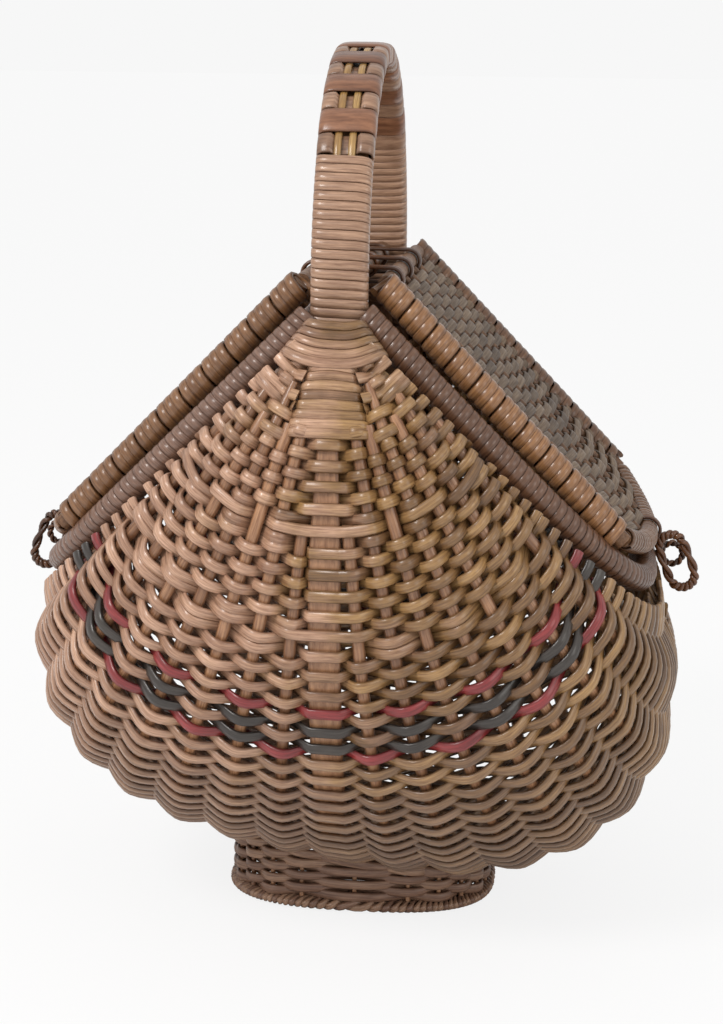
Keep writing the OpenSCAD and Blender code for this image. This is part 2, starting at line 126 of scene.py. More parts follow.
def reed_tree():
    tree = bpy.data.node_groups.new("swept reeds", "GeometryNodeTree")
    sockets = tree.interface
    sockets.new_socket("Geometry", in_out="INPUT", socket_type="NodeSocketGeometry")
    for name, kind, value in (("Width", "Float", 0.0046), ("Thickness", "Float", 0.0026),
                              ("Squareness", "Float", 1.0), ("Sides", "Int", 8),
                              ("Seed", "Int", 1), ("Finish", "Material", None)):
        socket = sockets.new_socket(name, in_out="INPUT", socket_type="NodeSocket" + kind)
        if value is not None:
            socket.default_value = value
    sockets.new_socket("Geometry", in_out="OUTPUT", socket_type="NodeSocketGeometry")
    new, link = tree.nodes.new, tree.links.new
    start, end = new("NodeGroupInput"), new("NodeGroupOutput")

    to_curve = new("GeometryNodeMeshToCurve")
    facing = new("GeometryNodeSetCurveNormal")
    facing.mode = "FREE"
    link(named(tree, "out", "FLOAT_VECTOR"), facing.inputs["Normal"])
    owner = new("GeometryNodeCurveOfPoint")
    tone = new("FunctionNodeRandomValue")
    tone.data_type = "FLOAT"
    link(owner.outputs["Curve Index"], tone.inputs["ID"])
    link(start.outputs["Seed"], tone.inputs["Seed"])
    tones = [s for s in tone.outputs if s.enabled and s.type == "VALUE"][0]
    keep_tone = store(tree, "tone", tones)
    measure = new("GeometryNodeSplineParameter")
    keep_length = store(tree, "along", measure.outputs["Length"])

    outline = new("GeometryNodeCurvePrimitiveCircle")
    link(start.outputs["Sides"], outline.inputs["Resolution"])
    outline.inputs["Radius"].default_value = 1
    split = new("ShaderNodeSeparateXYZ")
    link(new("GeometryNodeInputPosition").outputs[0], split.inputs[0])
    power = math_node(tree, "DIVIDE", 1.0, start.outputs["Squareness"])
    sides = []
    for socket, size in ((0, "Thickness"), (1, "Width")):
        value = split.outputs[socket]
        raised = math_node(tree, "POWER", math_node(tree, "ABSOLUTE", value), power)
        signed = math_node(tree, "MULTIPLY", raised, math_node(tree, "SIGN", value))
        half = math_node(tree, "MULTIPLY", start.outputs[size], 0.5)
        sides.append(math_node(tree, "MULTIPLY", signed, half))
    join = new("ShaderNodeCombineXYZ")
    link(sides[0], join.inputs[0])
    link(sides[1], join.inputs[1])
    keep_across = store(tree, "across", split.outputs[1])
    shape = new("GeometryNodeSetPosition")
    link(outline.outputs["Curve"], keep_across.inputs["Geometry"])
    link(keep_across.outputs[0], shape.inputs["Geometry"])
    link(join.outputs[0], shape.inputs["Position"])

    sweep = new("GeometryNodeCurveToMesh")
    sweep.inputs["Fill Caps"].default_value = True
    link_chain(tree, start, to_curve, facing, keep_tone, keep_length, sweep)
    link(named(tree, "size"), sweep.inputs["Scale"])
    link(shape.outputs[0], sweep.inputs["Profile Curve"])
    finish = new("GeometryNodeSetMaterial")
    link(start.outputs["Finish"], finish.inputs["Material"])
    link_chain(tree, sweep, new("GeometryNodeSetShadeSmooth"), new("GeometryNodeRealizeInstances"),
               finish, end)
    return tree

reeds = reed_tree()
print("reed tree:", len(reeds.nodes), "nodes")

# %% [markdown]
# ## Varnished reed
# The reeds are split willow and cane under an old varnish: tan, olive or pinkish brown, each with
# its own tone, fine streaks along it, darker edges and small bright highlights. The paler, pinker
# left side is painted light, and the purplish brown of the underside and the rims is painted shade.
# The material reads the tone, length and width values that the tree left on each reed, so the
# streaks follow every bend. A picture of wicker could not do that. A mottle in the object's own
# coordinates adds the slow change from reed to reed that dust and age leave.

# %% A material for reed and cane
def linear(*srgb):
    return tuple(((c / 255 + 0.055) / 1.055) ** 2.4 if c > 10 else c / 255 / 12.92
                 for c in srgb) + (1.0,)

def shade_node(tree, kind, **values):
    node = tree.nodes.new("ShaderNode" + kind)
    for key, value in values.items():
        if isinstance(value, bpy.types.NodeSocket):
            tree.links.new(value, node.inputs[key.replace("_", " ")])
        elif key.replace("_", " ") in node.inputs:
            node.inputs[key.replace("_", " ")].default_value = value
        else:
            setattr(node, key, value)
    return node

def mix(tree, factor, a, b, blend="MIX"):
    node = tree.nodes.new("ShaderNodeMix")
    node.data_type, node.blend_type = "RGBA", blend
    slots = [s for s in node.inputs if s.enabled and s.name in ("Factor", "A", "B")]
    for socket, value in zip(slots, (factor, a, b)):
        if isinstance(value, bpy.types.NodeSocket):
            tree.links.new(value, socket)
        else:
            socket.default_value = value
    return [s for s in node.outputs if s.enabled][0]

def ramp(tree, value, low, high, to_low=0.0, to_high=1.0):
    node = shade_node(tree, "MapRange", Value=value)
    for name, number in (("From Min", low), ("From Max", high),
                         ("To Min", to_low), ("To Max", to_high)):
        node.inputs[name].default_value = number
    return node.outputs[0]

def reed_finish(name, pale, deep, rough=0.36, coat=0.35, painted_left_light=None, low=None, dyes=False,
                loose=False):
    """Reed colours run from deep to pale; the left-side pair paints light on the left side, and low
    tints the underside as painted shade.
    """
    material = bpy.data.materials.new(name)
    material.use_nodes = True
    tree = material.node_tree
    shader = tree.nodes["Principled BSDF"]
    place = shade_node(tree, "TexCoord").outputs["Object"]
    read = lambda what: shade_node(tree, "Attribute", attribute_name=what).outputs["Fac"]
    mottle = shade_node(tree, "TexNoise", Vector=place, Scale=38.0, Detail=4.0).outputs["Fac"]
    if loose:      # a CAD piece has no reed values, so its streaks come from its own place
        tone = mottle
        grain = shade_node(tree, "TexNoise", Vector=place, Scale=620.0, Detail=5.0).outputs["Fac"]
    else:
        tone = read("tone")
        stretch = shade_node(tree, "CombineXYZ", X=math_node(tree, "MULTIPLY", read("along"), 55.0),
                             Y=math_node(tree, "MULTIPLY", read("across"), 2.2),
                             Z=math_node(tree, "MULTIPLY", tone, 90.0)).outputs[0]
        grain = shade_node(tree, "TexNoise", Vector=stretch, Scale=1.6, Detail=6.0,
                           Roughness=0.62).outputs["Fac"]
    level = math_node(tree, "ADD", math_node(tree, "MULTIPLY", tone, 0.6),
                      math_node(tree, "MULTIPLY", mottle, 0.5))
    colour = mix(tree, ramp(tree, level, 0.15, 0.95), deep, pale)
    sides = shade_node(tree, "SeparateXYZ", Vector=place).outputs
    # Painted light: the left side, where the lamp falls, blends toward the paler, pinker left-side
    # pair.
    if painted_left_light:
        tint = math_node(tree, "ADD", sides[0], ramp(tree, mottle, 0.3, 0.7, -0.05, 0.05))
        colour = mix(tree, ramp(tree, tint, 0.03, -0.04), colour,
                     mix(tree, level, painted_left_light[0], painted_left_light[1]))
    # Painted shade: toward the underside the colour blends into the purplish brown low pair, as in
    # shadow under the basket.
    if low:
        tint = math_node(tree, "ADD", sides[2], ramp(tree, mottle, 0.3, 0.7, -0.02, 0.02))
        colour = mix(tree, ramp(tree, tint, 0.13, 0.06, 0.0, 0.75), colour,
                     mix(tree, level, low[0], low[1]))
    if dyes:
        colour = mix(tree, read("red"), colour, mix(tree, mottle, linear(108, 32, 38),
                                                     linear(182, 70, 72)))
        colour = mix(tree, read("black"), colour, mix(tree, mottle, linear(38, 34, 34),
                                                      linear(82, 76, 70)))
    streak = mix(tree, ramp(tree, grain, 0.32, 0.68), linear(176, 160, 148), linear(255, 252, 246))
    colour = mix(tree, 1.0, colour, streak, "MULTIPLY")
    if not loose:
        edge = ramp(tree, math_node(tree, "ABSOLUTE", read("across")), 0.6, 1.0, 0.0, 0.55)
        colour = mix(tree, edge, colour, mix(tree, 1.0, colour, linear(120, 96, 80), "MULTIPLY"))
    tree.links.new(colour, shader.inputs["Base Color"])
    roughness = ramp(tree, grain, 0.3, 0.7, rough + 0.12, rough - 0.06)
    tree.links.new(roughness, shader.inputs["Roughness"])
    bump = shade_node(tree, "Bump", Height=grain, Strength=0.25, Distance=0.0004)
    tree.links.new(bump.outputs[0], shader.inputs["Normal"])
    shader.inputs["Coat Weight"].default_value = coat
    shader.inputs["Coat Roughness"].default_value = 0.16
    return material

# The left-side pair below is painted light, and the underside pair is painted shade.
body_reed = reed_finish("body reed", linear(184, 147, 98), linear(110, 79, 50),
                        painted_left_light=(linear(160, 122, 98), linear(232, 192, 166)),
                        low=(linear(114, 88, 68), linear(170, 138, 110)), dyes=True)
# Painted shade: the reed on the rims is a darker, more purple copy of the belly's, because the rims
# lie in shadow; its left-side pair is painted light.
rim_reed_in_painted_shade = reed_finish("rim reed in painted shade", linear(136, 98, 72), linear(84, 58, 44),
                       painted_left_light=(linear(110, 84, 72), linear(164, 130, 112)))
rib_reed = reed_finish("rib reed", linear(200, 154, 118), linear(134, 96, 70))
handle_reed = reed_finish("handle reed", linear(192, 156, 131), linear(132, 102, 82), rough=0.32)
band_reed = reed_finish("handle bands", linear(166, 118, 88), linear(122, 82, 60), rough=0.32)
pale_strand = reed_finish("pale strands", linear(206, 172, 112), linear(158, 120, 70), rough=0.3)
roll_reed = reed_finish("rolled edges", linear(170, 126, 86), linear(100, 68, 45), rough=0.32)
lid_reed = reed_finish("lid reed", linear(142, 122, 100), linear(94, 78, 62), rough=0.5, coat=0.05)
foot_reed = reed_finish("foot reed", linear(198, 164, 138), linear(134, 102, 86), rough=0.42,
                        coat=0.2)
dark_reed = reed_finish("dark twisted reed", linear(128, 82, 46), linear(62, 38, 24), rough=0.3)
bare_rod = reed_finish("bare rods", linear(150, 112, 78), linear(92, 62, 42), rough=0.5, coat=0.1,
                       loose=True)
print("finishes:", len(bpy.data.materials))

# %% [markdown]
# ## From paths to reeds
# Every reed of this basket goes through the same two steps. A path is worked out in millimetres
# with plain arithmetic, because over and under must be counted exactly. Then the tree sweeps it.
# The object with the tree is only a mould: its result is kept as a plain mesh that rides on its
# body, and the mould is thrown away.

# %% Paths, and pieces made of them
rng = np.random.default_rng(11)

def path(points, out, size=1.0, red=0.0, black=0.0, closed=False):
    points = np.asarray(points, float)
    return dict(points=points, out=np.broadcast_to(np.asarray(out, float), points.shape),
                size=np.broadcast_to(size, len(points)), red=red, black=black, closed=closed)

def moved(paths, to_world, turn):
    """The same paths in another frame; turn moves directions, to_world moves points."""
    return [dict(p, points=to_world(p["points"]), out=turn(p["out"])) for p in paths]

def piece(name, paths, width, thickness, finish, body, stands_for=(), square=1.0, sides=8):
    counts = [len(p["points"]) for p in paths]
    starts = np.concatenate([[0], np.cumsum(counts)[:-1]])
    edges = []
    for p, first, count in zip(paths, starts, counts):
        run = np.arange(first, first + count - 1)
        edges.append(np.stack([run, run + 1], 1))
        if p["closed"]:
            edges.append([[first + count - 1, first]])
    points = np.concatenate([p["points"] for p in paths]) / 1000
    mesh = bpy.data.meshes.new(name + " paths")
    mesh.from_pydata(points.tolist(), np.concatenate(edges).tolist(), [])
    values = {"size": np.concatenate([p["size"] for p in paths]),
              "red": np.repeat([p["red"] for p in paths], counts),
              "black": np.repeat([p["black"] for p in paths], counts)}
    for key, value in values.items():
        kept = mesh.attributes.new(key, "FLOAT", "POINT")
        kept.data.foreach_set("value", value.astype(np.float32))
    out = np.concatenate([p["out"] for p in paths]).astype(np.float32)
    mesh.attributes.new("out", "FLOAT_VECTOR", "POINT").data.foreach_set("vector", out.ravel())
    mould = bpy.data.objects.new(name + " mould", mesh)
    bpy.context.scene.collection.objects.link(mould)
    modifier = mould.modifiers.new("reeds", "NODES")
    modifier.node_group = reeds
    wanted = {"Width": width / 1000, "Thickness": thickness / 1000, "Squareness": square,
              "Sides": sides, "Seed": int(rng.integers(1, 9999)), "Finish": finish}
    for item in reeds.interface.items_tree:
        if item.in_out == "INPUT" and item.name in wanted:
            modifier[item.identifier] = wanted[item.name]
    graph = bpy.context.evaluated_depsgraph_get()
    shown = bpy.data.meshes.new_from_object(mould.evaluated_get(graph), depsgraph=graph)
    bpy.data.objects.remove(mould)
    made = bpy.data.objects.new(name, shown)
    bpy.context.scene.collection.objects.link(made)
    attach(made, body)
    if stands_for:
        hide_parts(*stands_for)
    shown.calc_loop_triangles()
    print(f"{name}: {len(paths)} reeds, {len(shown.loop_triangles)} triangles")
    return made

# %% [markdown]
# ## The form of the belly
# Every rib lies in a plane through the line between the ears, and its outline is a superellipse
# through both ears. The same rule shaped the CAD ribs, so reeds laid by it meet them exactly.
# A row of weave crosses the ribs at the same distance from the ear, measured along each rib,
# because a weaver packs each row against the one before it.

# %% The belly's rule, from CAD
EAR_Z, RIM_TILT, RIB_STEP = 300.0, 45.0, 5.625

def rib_form(a):
    """Half depth, middle, reach and squareness of the rib outline in the plane at angle a."""
    share = np.minimum(1, np.abs(a) / RIM_TILT)
    drop = 276 + 60 * share ** 2 - 146 * share ** 3.26 + 9 * np.sin(np.radians(4 * a))
    half, n = 105 + 37 * (1 - share ** 4), 2.2 + 1.2 * share ** 4
    ratio = (1 - (100 / half) ** n) ** (1 / n)
    middle = drop * ratio / (1 + ratio)
    return half, middle, drop - middle, n

def on_rib(a, t):
    """Front to back place and depth on the rib at angle a, at turn t about its middle."""
    half, middle, reach, n = rib_form(a)
    radius = ((np.abs(np.cos(t)) / half) ** n + (np.abs(np.sin(t)) / reach) ** n) ** (-1 / n)
    return -radius * np.cos(t), middle + radius * np.sin(t)

def in_room(a, u, v):
    a = np.radians(a)
    return np.stack([v * np.sin(a), u + 0 * a, EAR_Z - v * np.cos(a)], -1)

def facing_out(a, u, v):
    """The direction square to the belly at a place on it."""
    def level(angle):
        half, middle, reach, n = rib_form(angle)
        return (np.abs(u) / half) ** n + (np.abs(v - middle) / reach) ** n
    half, middle, reach, n = rib_form(a)
    w, step = v - middle, 0.2
    across = np.sign(u) * (np.abs(u) / half) ** (n - 1) / half
    deeper = np.sign(w) * (np.abs(w) / reach) ** (n - 1) / reach
    turning = (level(a + step) - level(a - step)) / (2 * np.radians(step)) / np.maximum(v, 4) / n
    r = np.radians(a)
    g = np.stack([deeper * np.sin(r) + turning * np.cos(r), across,
                  turning * np.sin(r) - deeper * np.cos(r)], -1)
    return g / np.linalg.norm(g, axis=-1, keepdims=True)

angles = np.linspace(-RIM_TILT, RIM_TILT, 121)
turns, lengths = [], []
for a in angles:
    half, middle, reach, n = rib_form(a)
    ear_half = half * (1 - (middle / reach) ** n) ** (1 / n)
    t = np.linspace(-math.atan2(middle, ear_half), math.pi / 2, 240)
    u, v = on_rib(a, t)
    turns.append(t)
    lengths.append(np.concatenate([[0], np.cumsum(np.hypot(np.diff(u), np.diff(v)))]))
reach_along = np.array([length[-1] for length in lengths])
print("rib half lengths in mm:", round(reach_along[60]), "middle,", round(reach_along[0]), "rim")

grid_share = np.abs(angles) / RIM_TILT
packing = 1 - 0.04 * grid_share ** 2 - 0.18 * grid_share ** 4   # rows lie closer near the rims
row_reach = reach_along / packing

def row_turn(a, s):
    """Turn about a rib's middle of the row that is s from the ear on the middle rib."""
    at_grid = [np.interp(s * f, length, t) for f, length, t in zip(packing, lengths, turns)]
    return np.interp(a, angles, at_grid)

# %% [markdown]
# ## The ribs
# Round reeds make the ribs, and a flat wide cane makes the middle one, which runs from ear to ear
# under the basket. The CAD ribs are eight-sided rods, so each gets a smooth reed in its place.

# %% Ribs
RIB_FIRST = [94, 40, 56, 40, 56, 44, 68]     # depth below the ear where each rib starts
RIB_R, RIB_TIP, SPINE_TAPER = 2.75, 0.045, 0.055

def rib_path(a, first, last_size):
    half, middle, reach, n = rib_form(a)
    start = -math.atan2(middle - first, half * (1 - (abs(first - middle) / reach) ** n) ** (1 / n))
    t = np.linspace(start, math.pi - start, 90)
    u, v = on_rib(a, t)
    away = np.array([math.cos(math.radians(a)), 0, math.sin(math.radians(a))])
    out = facing_out(a, u, v)
    out = out - (out @ away)[:, None] * away
    return path(in_room(a, u, v), out, size=last_size(v))

def thin_tip(v):
    return np.minimum(1, v * RIB_TIP / RIB_R)

for side, word in ((-1, "left"), (1, "right")):
    ribs = [rib_path(side * (i + 1) * RIB_STEP, first, thin_tip)
            for i, first in enumerate(RIB_FIRST)]
    piece(f"ribs_{word}", ribs, 2 * RIB_R, 2 * RIB_R, rib_reed, "basket",
          [f"rib_{word}_{i + 1}" for i in range(7)], sides=10)
spine = [rib_path(0.0, 15.0, lambda v: np.minimum(1, (1 + v * SPINE_TAPER) / 7))]
piece("spine_cane", spine, 14.0, 4.0, rib_reed, "basket", ["spine"], square=1.7,
      sides=16)

# %% [markdown]
# ## The woven belly
# Each row runs from one rim to the other, in front of one rib and behind the next, and its ends
# lie under the rims' own winding. The row below does the opposite. In some rows the middle rib and
# those beside it are passed together, which makes the wide and narrow bars down the middle. Two
# red and two black rows, with plain ones between, make the band. Rows too deep for the rims end
# at the middle of the side, where front and back meet in a seam. That is simpler than on the real
# basket, where such a row turns back round a rib.

# %% Rows over and under the ribs
PITCH, REED_W, REED_T = 4.4, 5.2, 2.6
RED_ROWS, BLACK_ROWS = (42, 47), (44, 46)
HIGH_BARS, LOW_BARS = (86, 114), (150, 158)  # from the ear, where the middle ribs pass together
UNDER_RIM, RIM_WOUND_R = 3.2, 5.6
EAR_WRAPS_TO, EAR_WRAPS_TILT = 60.0, 18.6
rng = np.random.default_rng(23)

def crossings(s, k):
    """Angles, half widths in degrees and signed heights of what row k passes, left to right."""
    found = []
    for i in range(-7, 8):
        a = i * RIB_STEP
        v = on_rib(a, row_turn(a, s))[1]
        if i == 0:
            found.append((a, min(6.0, 0.6 + v * SPINE_TAPER), 2.0, i, v))
        elif v > RIB_FIRST[abs(i) - 1] + 6:
            found.append((a, 1.3, min(RIB_R, v * RIB_TIP), i, v))
    both = HIGH_BARS[0] < s < HIGH_BARS[1] or LOW_BARS[0] < s < LOW_BARS[1]
    right = HIGH_BARS[1] <= s <= LOW_BARS[0]
    result = []
    middle = [f[3] for f in found].index(0)
    for index, (a, half_w, radius, i, v) in enumerate(found):
        rank = abs(index - middle)
        if rank and (both or right and i > 0) and v > RIB_FIRST[0]:
            rank -= 1
        sign = 1 if (k + rank) % 2 == 0 else -1
        if i == 0 and both and v < RIB_FIRST[0] and sign > 0:
            half_w += 3
        result.append((a, math.degrees(half_w / max(v, 12)), sign * (radius + REED_T / 2 - 0.1)))
    return result

def height_profile(low, high, marks):
    """Sample angles from low to high, and the reed's height off the ribs' middle at each."""
    spots, heights = [], []
    edge_sign = -np.sign(marks[0][2]), -np.sign(marks[-1][2])
    stops = [(low, 0.0, edge_sign[0] * UNDER_RIM), *marks, (high, 0.0, edge_sign[1] * UNDER_RIM)]
    for (a, wa, ha), (b, wb, hb) in zip(stops, stops[1:]):
        x = np.array([0, 0.18, 0.36, 0.5, 0.64, 0.82, 1.0])
        first, last = a + wa, b - wb
        spots.extend(first + x * (last - first))
        heights.extend(ha + (hb - ha) * (0.6 * x * x * (3 - 2 * x) + 0.4 * x))
    return np.array(spots), np.array(heights)

def belly_rows(back):
    rows = []
    for k in range(8, int(row_reach.max() // PITCH)):
        s = k * PITCH + rng.normal(0, 0.25) + 1.5
        inside = row_reach >= s
        if not inside.any():
            continue
        red, black = float(k in RED_ROWS), float(k in BLACK_ROWS)
        size = rng.uniform(0.92, 1.06)
        marks = crossings(s, k)
        if s < EAR_WRAPS_TO:       # the wraps over the ear fill the middle here
            inside &= np.abs(angles) > EAR_WRAPS_TILT - 2
        ends = np.flatnonzero(np.diff(np.concatenate([[0], inside.astype(int), [0]])))
        for low, high in zip(ends[::2], ends[1::2] - 1):
            a0, a1 = angles[low], angles[high]
            rim_depth = on_rib(RIM_TILT, row_turn(RIM_TILT, s))[1]
            margin = math.degrees(RIM_WOUND_R / max(12, rim_depth))
            if a0 <= -RIM_TILT:
                a0 += margin
            if a1 >= RIM_TILT:
                a1 -= margin
            here = [m for m in marks if a0 + 0.4 < m[0] - m[1] and m[0] + m[1] < a1 - 0.4]
            if not here:
                here = [((a0 + a1) / 2, 0.5, 1.6 if k % 2 else -1.6)]
            a, h = height_profile(a0, a1, here)
            u, v = on_rib(a, row_turn(a, s))
            out = facing_out(a, u, v)
            points = in_room(a, u, v) + h[:, None] * out
            if back:
                points, out = points * [1, -1, 1], out * [1, -1, 1]
            rows.append(path(points, out, size, red, black))
    return rows

front, behind = belly_rows(False), belly_rows(True)
piece("belly_front", front, REED_W, REED_T, body_reed, "basket", ["body_weave"], 1.3)
piece("belly_back", behind, REED_W, REED_T, body_reed, "basket", [], 1.3)

# %% [markdown]
# ## Winding a reed round a rod
# The handle, the rolled edges of the lids and the lashings are all one idea: a flat reed wound
# round something long. The helper below turns a core, given by its middle line and two
# directions across it, into a helix that hugs a rounded outline.

# %% Winding helper
def rounded(phase, half_x, half_y, square):
    """Places on a rounded outline at the given turns, and the way it faces at each."""
    c, d = np.cos(phase), np.sin(phase)
    k = 1 / square
    x, y = np.sign(c) * np.abs(c) ** k * half_x, np.sign(d) * np.abs(d) ** k * half_y
    nx = np.sign(c) * np.abs(c) ** (2 - k) / half_x
    ny = np.sign(d) * np.abs(d) ** (2 - k) / half_y
    return x, y, (nx, ny)

def around(core_there, x, y, facing, closed=False):
    """Carry an outline's places to the core's middle line."""
    middle, across, outward = core_there
    out = facing[0][:, None] * across + facing[1][:, None] * outward
    out /= np.linalg.norm(out, axis=1, keepdims=True)
    return path(middle + x[:, None] * across + y[:, None] * outward, out, closed=closed)

def wind(core, half_x, half_y, pitch, length, square=1.0, lead=0.0, every=0, gap=0.0, steps=14):
    """core(s) gives middle, across and outward at the length s; returns one long path."""
    gaps = length / pitch / every * gap if every else 0.0
    count = max(1, int((length - gaps) / pitch))
    turn = np.arange(count * steps + 1) / steps
    s = turn * pitch + (np.floor(turn / every) * gap if every else 0)
    s = s * (length / s[-1])
    x, y, facing = rounded(2 * np.pi * (turn + lead), half_x, half_y, square)
    return around(core(s), x, y, facing)

# %% [markdown]
# ## The rims and the ears
# Both rims are wound all the way in reed, which hides where the rows end. That reed is darker and
# more purple than the belly's as painted shade, because the rims lie in shadow. Below each ear the
# reeds lie over the middle rib in two fans without a gap: first a wide one from rim to rim, then a
# narrower one like a dome. Each is an arc on the belly's own form whose ends dip inside.

# %% Rim windings and ear wraps
def rim_core(side):
    a = side * RIM_TILT
    half, middle, reach, n = rib_form(a)
    start = -math.atan2(middle - 17, half * (1 - (abs(17 - middle) / reach) ** n) ** (1 / n))
    t = np.linspace(start, math.pi - start, 400)
    u, v = on_rib(a, t)
    run = np.concatenate([[0], np.cumsum(np.hypot(np.diff(u), np.diff(v)))])
    r = math.radians(a)
    away = np.array([math.cos(r), 0, math.sin(r)])
    def core(s):
        us, vs = np.interp(s, run, u), np.interp(s, run, v)
        out = facing_out(np.full_like(us, a), us, vs)
        out = out - (out @ away)[:, None] * away
        out /= np.linalg.norm(out, axis=1, keepdims=True)
        return in_room(np.full_like(us, a), us, vs), np.broadcast_to(away, out.shape), out
    return core, run[-1]

for side, word in ((-1, "left"), (1, "right")):
    core, length = rim_core(side)
    winding = [wind(core, RIM_WOUND_R, RIM_WOUND_R, 4.1, length)]
    piece(f"rim_winding_{word}", winding, 4.5, 1.5, rim_reed_in_painted_shade, "basket", [], 1.5)

def ear_fan(depths, tilt, lift, droop, back):
    fans = []
    spine_turns, spine_lengths = turns[60], lengths[60]
    depth_there = on_rib(0.0, spine_turns)[1]
    for depth in depths:
        x = np.linspace(-1, 1, 19)
        a = x * tilt
        s = np.interp(depth, depth_there, spine_lengths) + droop * x ** 2
        at = np.array([row_turn(one, length) for one, length in zip(a, s)])
        u, v = on_rib(a, at)
        out = facing_out(a, u, v)
        h = lift * (1 - 0.25 * x ** 2) - 6.5 * np.clip((np.abs(x) - 0.82) / 0.18, 0, 1) ** 1.5
        size = rng.uniform(0.94, 1.05) * (1 - 0.25 * np.abs(x) ** 3)
        flip = np.array([1, -1 if back else 1, 1])
        fans.append(path((in_room(a, u, v) + h[:, None] * out) * flip, out * flip, size))
    return fans

wraps = []
for back in (False, True):
    wraps += ear_fan(np.arange(16.5, 33, 3.6), 43, 4.0, 5.0, back)
    wraps += ear_fan(np.arange(31.5, 58, 3.7), EAR_WRAPS_TILT, 3.6, 3.2, back)
piece("ear_wraps", wraps, 4.7, 2.0, body_reed, "basket", [], 1.4)

# %% [markdown]
# ## The handle
# The handle is a flat cane arch, wound tightly up both legs. Over the top wide bands take turns
# with bands that dip under two lengthwise strands, which show there as pale bars. A band of this
# kind is not a helix but a loop of its own, so each is placed by its angle on the arch.

# %% Handle
ARCH_R, LEG = 98.45, 15.5
HANDLE_HALF_W, HANDLE_HALF_T, HANDLE_SQUARE = 11.7, 4.8, 2.2    # the wrapped section
BAND_POINTS, BAND_DIP, DIP_HALF_W = 48, 2.6, 6.4

def arch_core(s):
    """Middle line up the front leg, over the arch and down the back leg."""
    s = s - LEG
    bend = np.clip(s / ARCH_R, 0, np.pi)
    below = np.minimum(s, 0) + np.minimum(np.pi * ARCH_R - s, 0)
    zero = 0 * s
    middle = np.stack([zero, -ARCH_R * np.cos(bend), EAR_Z + ARCH_R * np.sin(bend) + below], -1)
    outward = np.stack([zero, -np.cos(bend), np.sin(bend)], -1)
    across = np.broadcast_to([1.0, 0.0, 0.0], middle.shape)
    return middle, across, outward

ARCH = np.pi * ARCH_R
BANDS_FROM = math.radians(33) * ARCH_R

def far_leg_core(s):
    middle, across, outward = arch_core(s)
    return middle * [1, -1, 1], across, outward * [1, -1, 1]

legs = [wind(core, HANDLE_HALF_W, HANDLE_HALF_T, 3.9, LEG + BANDS_FROM,
             square=HANDLE_SQUARE, steps=24)
        for core in (arch_core, far_leg_core)]
piece("handle_legs", legs, 4.2, 1.4, handle_reed, "basket",
      ["handle_wrap", "ear_lashing_front", "ear_lashing_back"], 2.1)

def band(s, dips):
    phase = np.linspace(0, 2 * np.pi, BAND_POINTS, endpoint=False)
    x, y, facing = rounded(phase, HANDLE_HALF_W, HANDLE_HALF_T, HANDLE_SQUARE)
    if dips:                       # the outer face sinks under the two pale strands
        y = y - BAND_DIP * np.clip((DIP_HALF_W - np.abs(x)) / 1.8, 0, 1) * (np.sin(phase) > 0)
    return around(arch_core(np.full(BAND_POINTS, s)), x, y, facing, closed=True)

BANDS = 8
step = (ARCH - 2 * BANDS_FROM) / (BANDS + 0.44)      # a window is 0.44 of a step, a band the rest
windows = LEG + BANDS_FROM + step * (np.arange(BANDS + 1) + 0.22)
piece("handle_bands", [band(s, False) for s in windows[:-1] + step / 2], step * 0.58, 1.7,
      band_reed, "basket", [], 2.2)
piece("handle_windows", [band(s, True) for s in windows], step * 0.45, 1.5,
      handle_reed, "basket", [], 2.0)
strands = []
for x in (-3.1, 3.1):
    s = np.linspace(LEG + BANDS_FROM - 4, LEG + ARCH - BANDS_FROM + 4, 240)
    rise = 0.5 + 0.5 * np.cos(2 * np.pi * (s - windows[0]) / step)
    middle, across, outward = arch_core(s)
    strands.append(path(middle + x * across + (2.4 + 1.9 * rise)[:, None] * outward, outward))
piece("handle_pale_strands", strands, 3.4, 1.8, pale_strand, "basket",
      ["handle_strands"], 1.4)

# %% [markdown]
# ## The lids
# A lid is a frame of rods with its edge rods wound in broad reed, and a flat sheet woven from
# front to back over seven stakes. Its rows start straight at the hinge and bow more and more
# towards the outer rod, so the last row runs along it. Both lids are made in one flat frame of
# their own and then put on their slopes.

# %% Lid pieces
SLOPE, HINGE_X = math.radians(46), 18.5
LID_L, LID_BOW, SIDE_Y, BOW_R = 147.0, 22.0, 88.0, 187.0
BOW_HALF_TURN = math.radians(25.1)
LID_ROWS, LID_PITCH, LID_FIRST, ROW_END = 34, 3.98, 9.5, 82.5
ROLL_R, BOW_WOUND_R = 5.6, 4.6

def lid_frame(side):
    turn = np.array([[math.cos(SLOPE), 0, -math.sin(SLOPE)], [0, 1, 0],
                     [math.sin(SLOPE), 0, math.cos(SLOPE)]])
    flip = np.array([side, 1, 1])
    origin = np.array([HINGE_X, 0, EAR_Z])
    return (lambda p: (p @ turn + origin) * flip), (lambda d: d @ turn * flip)

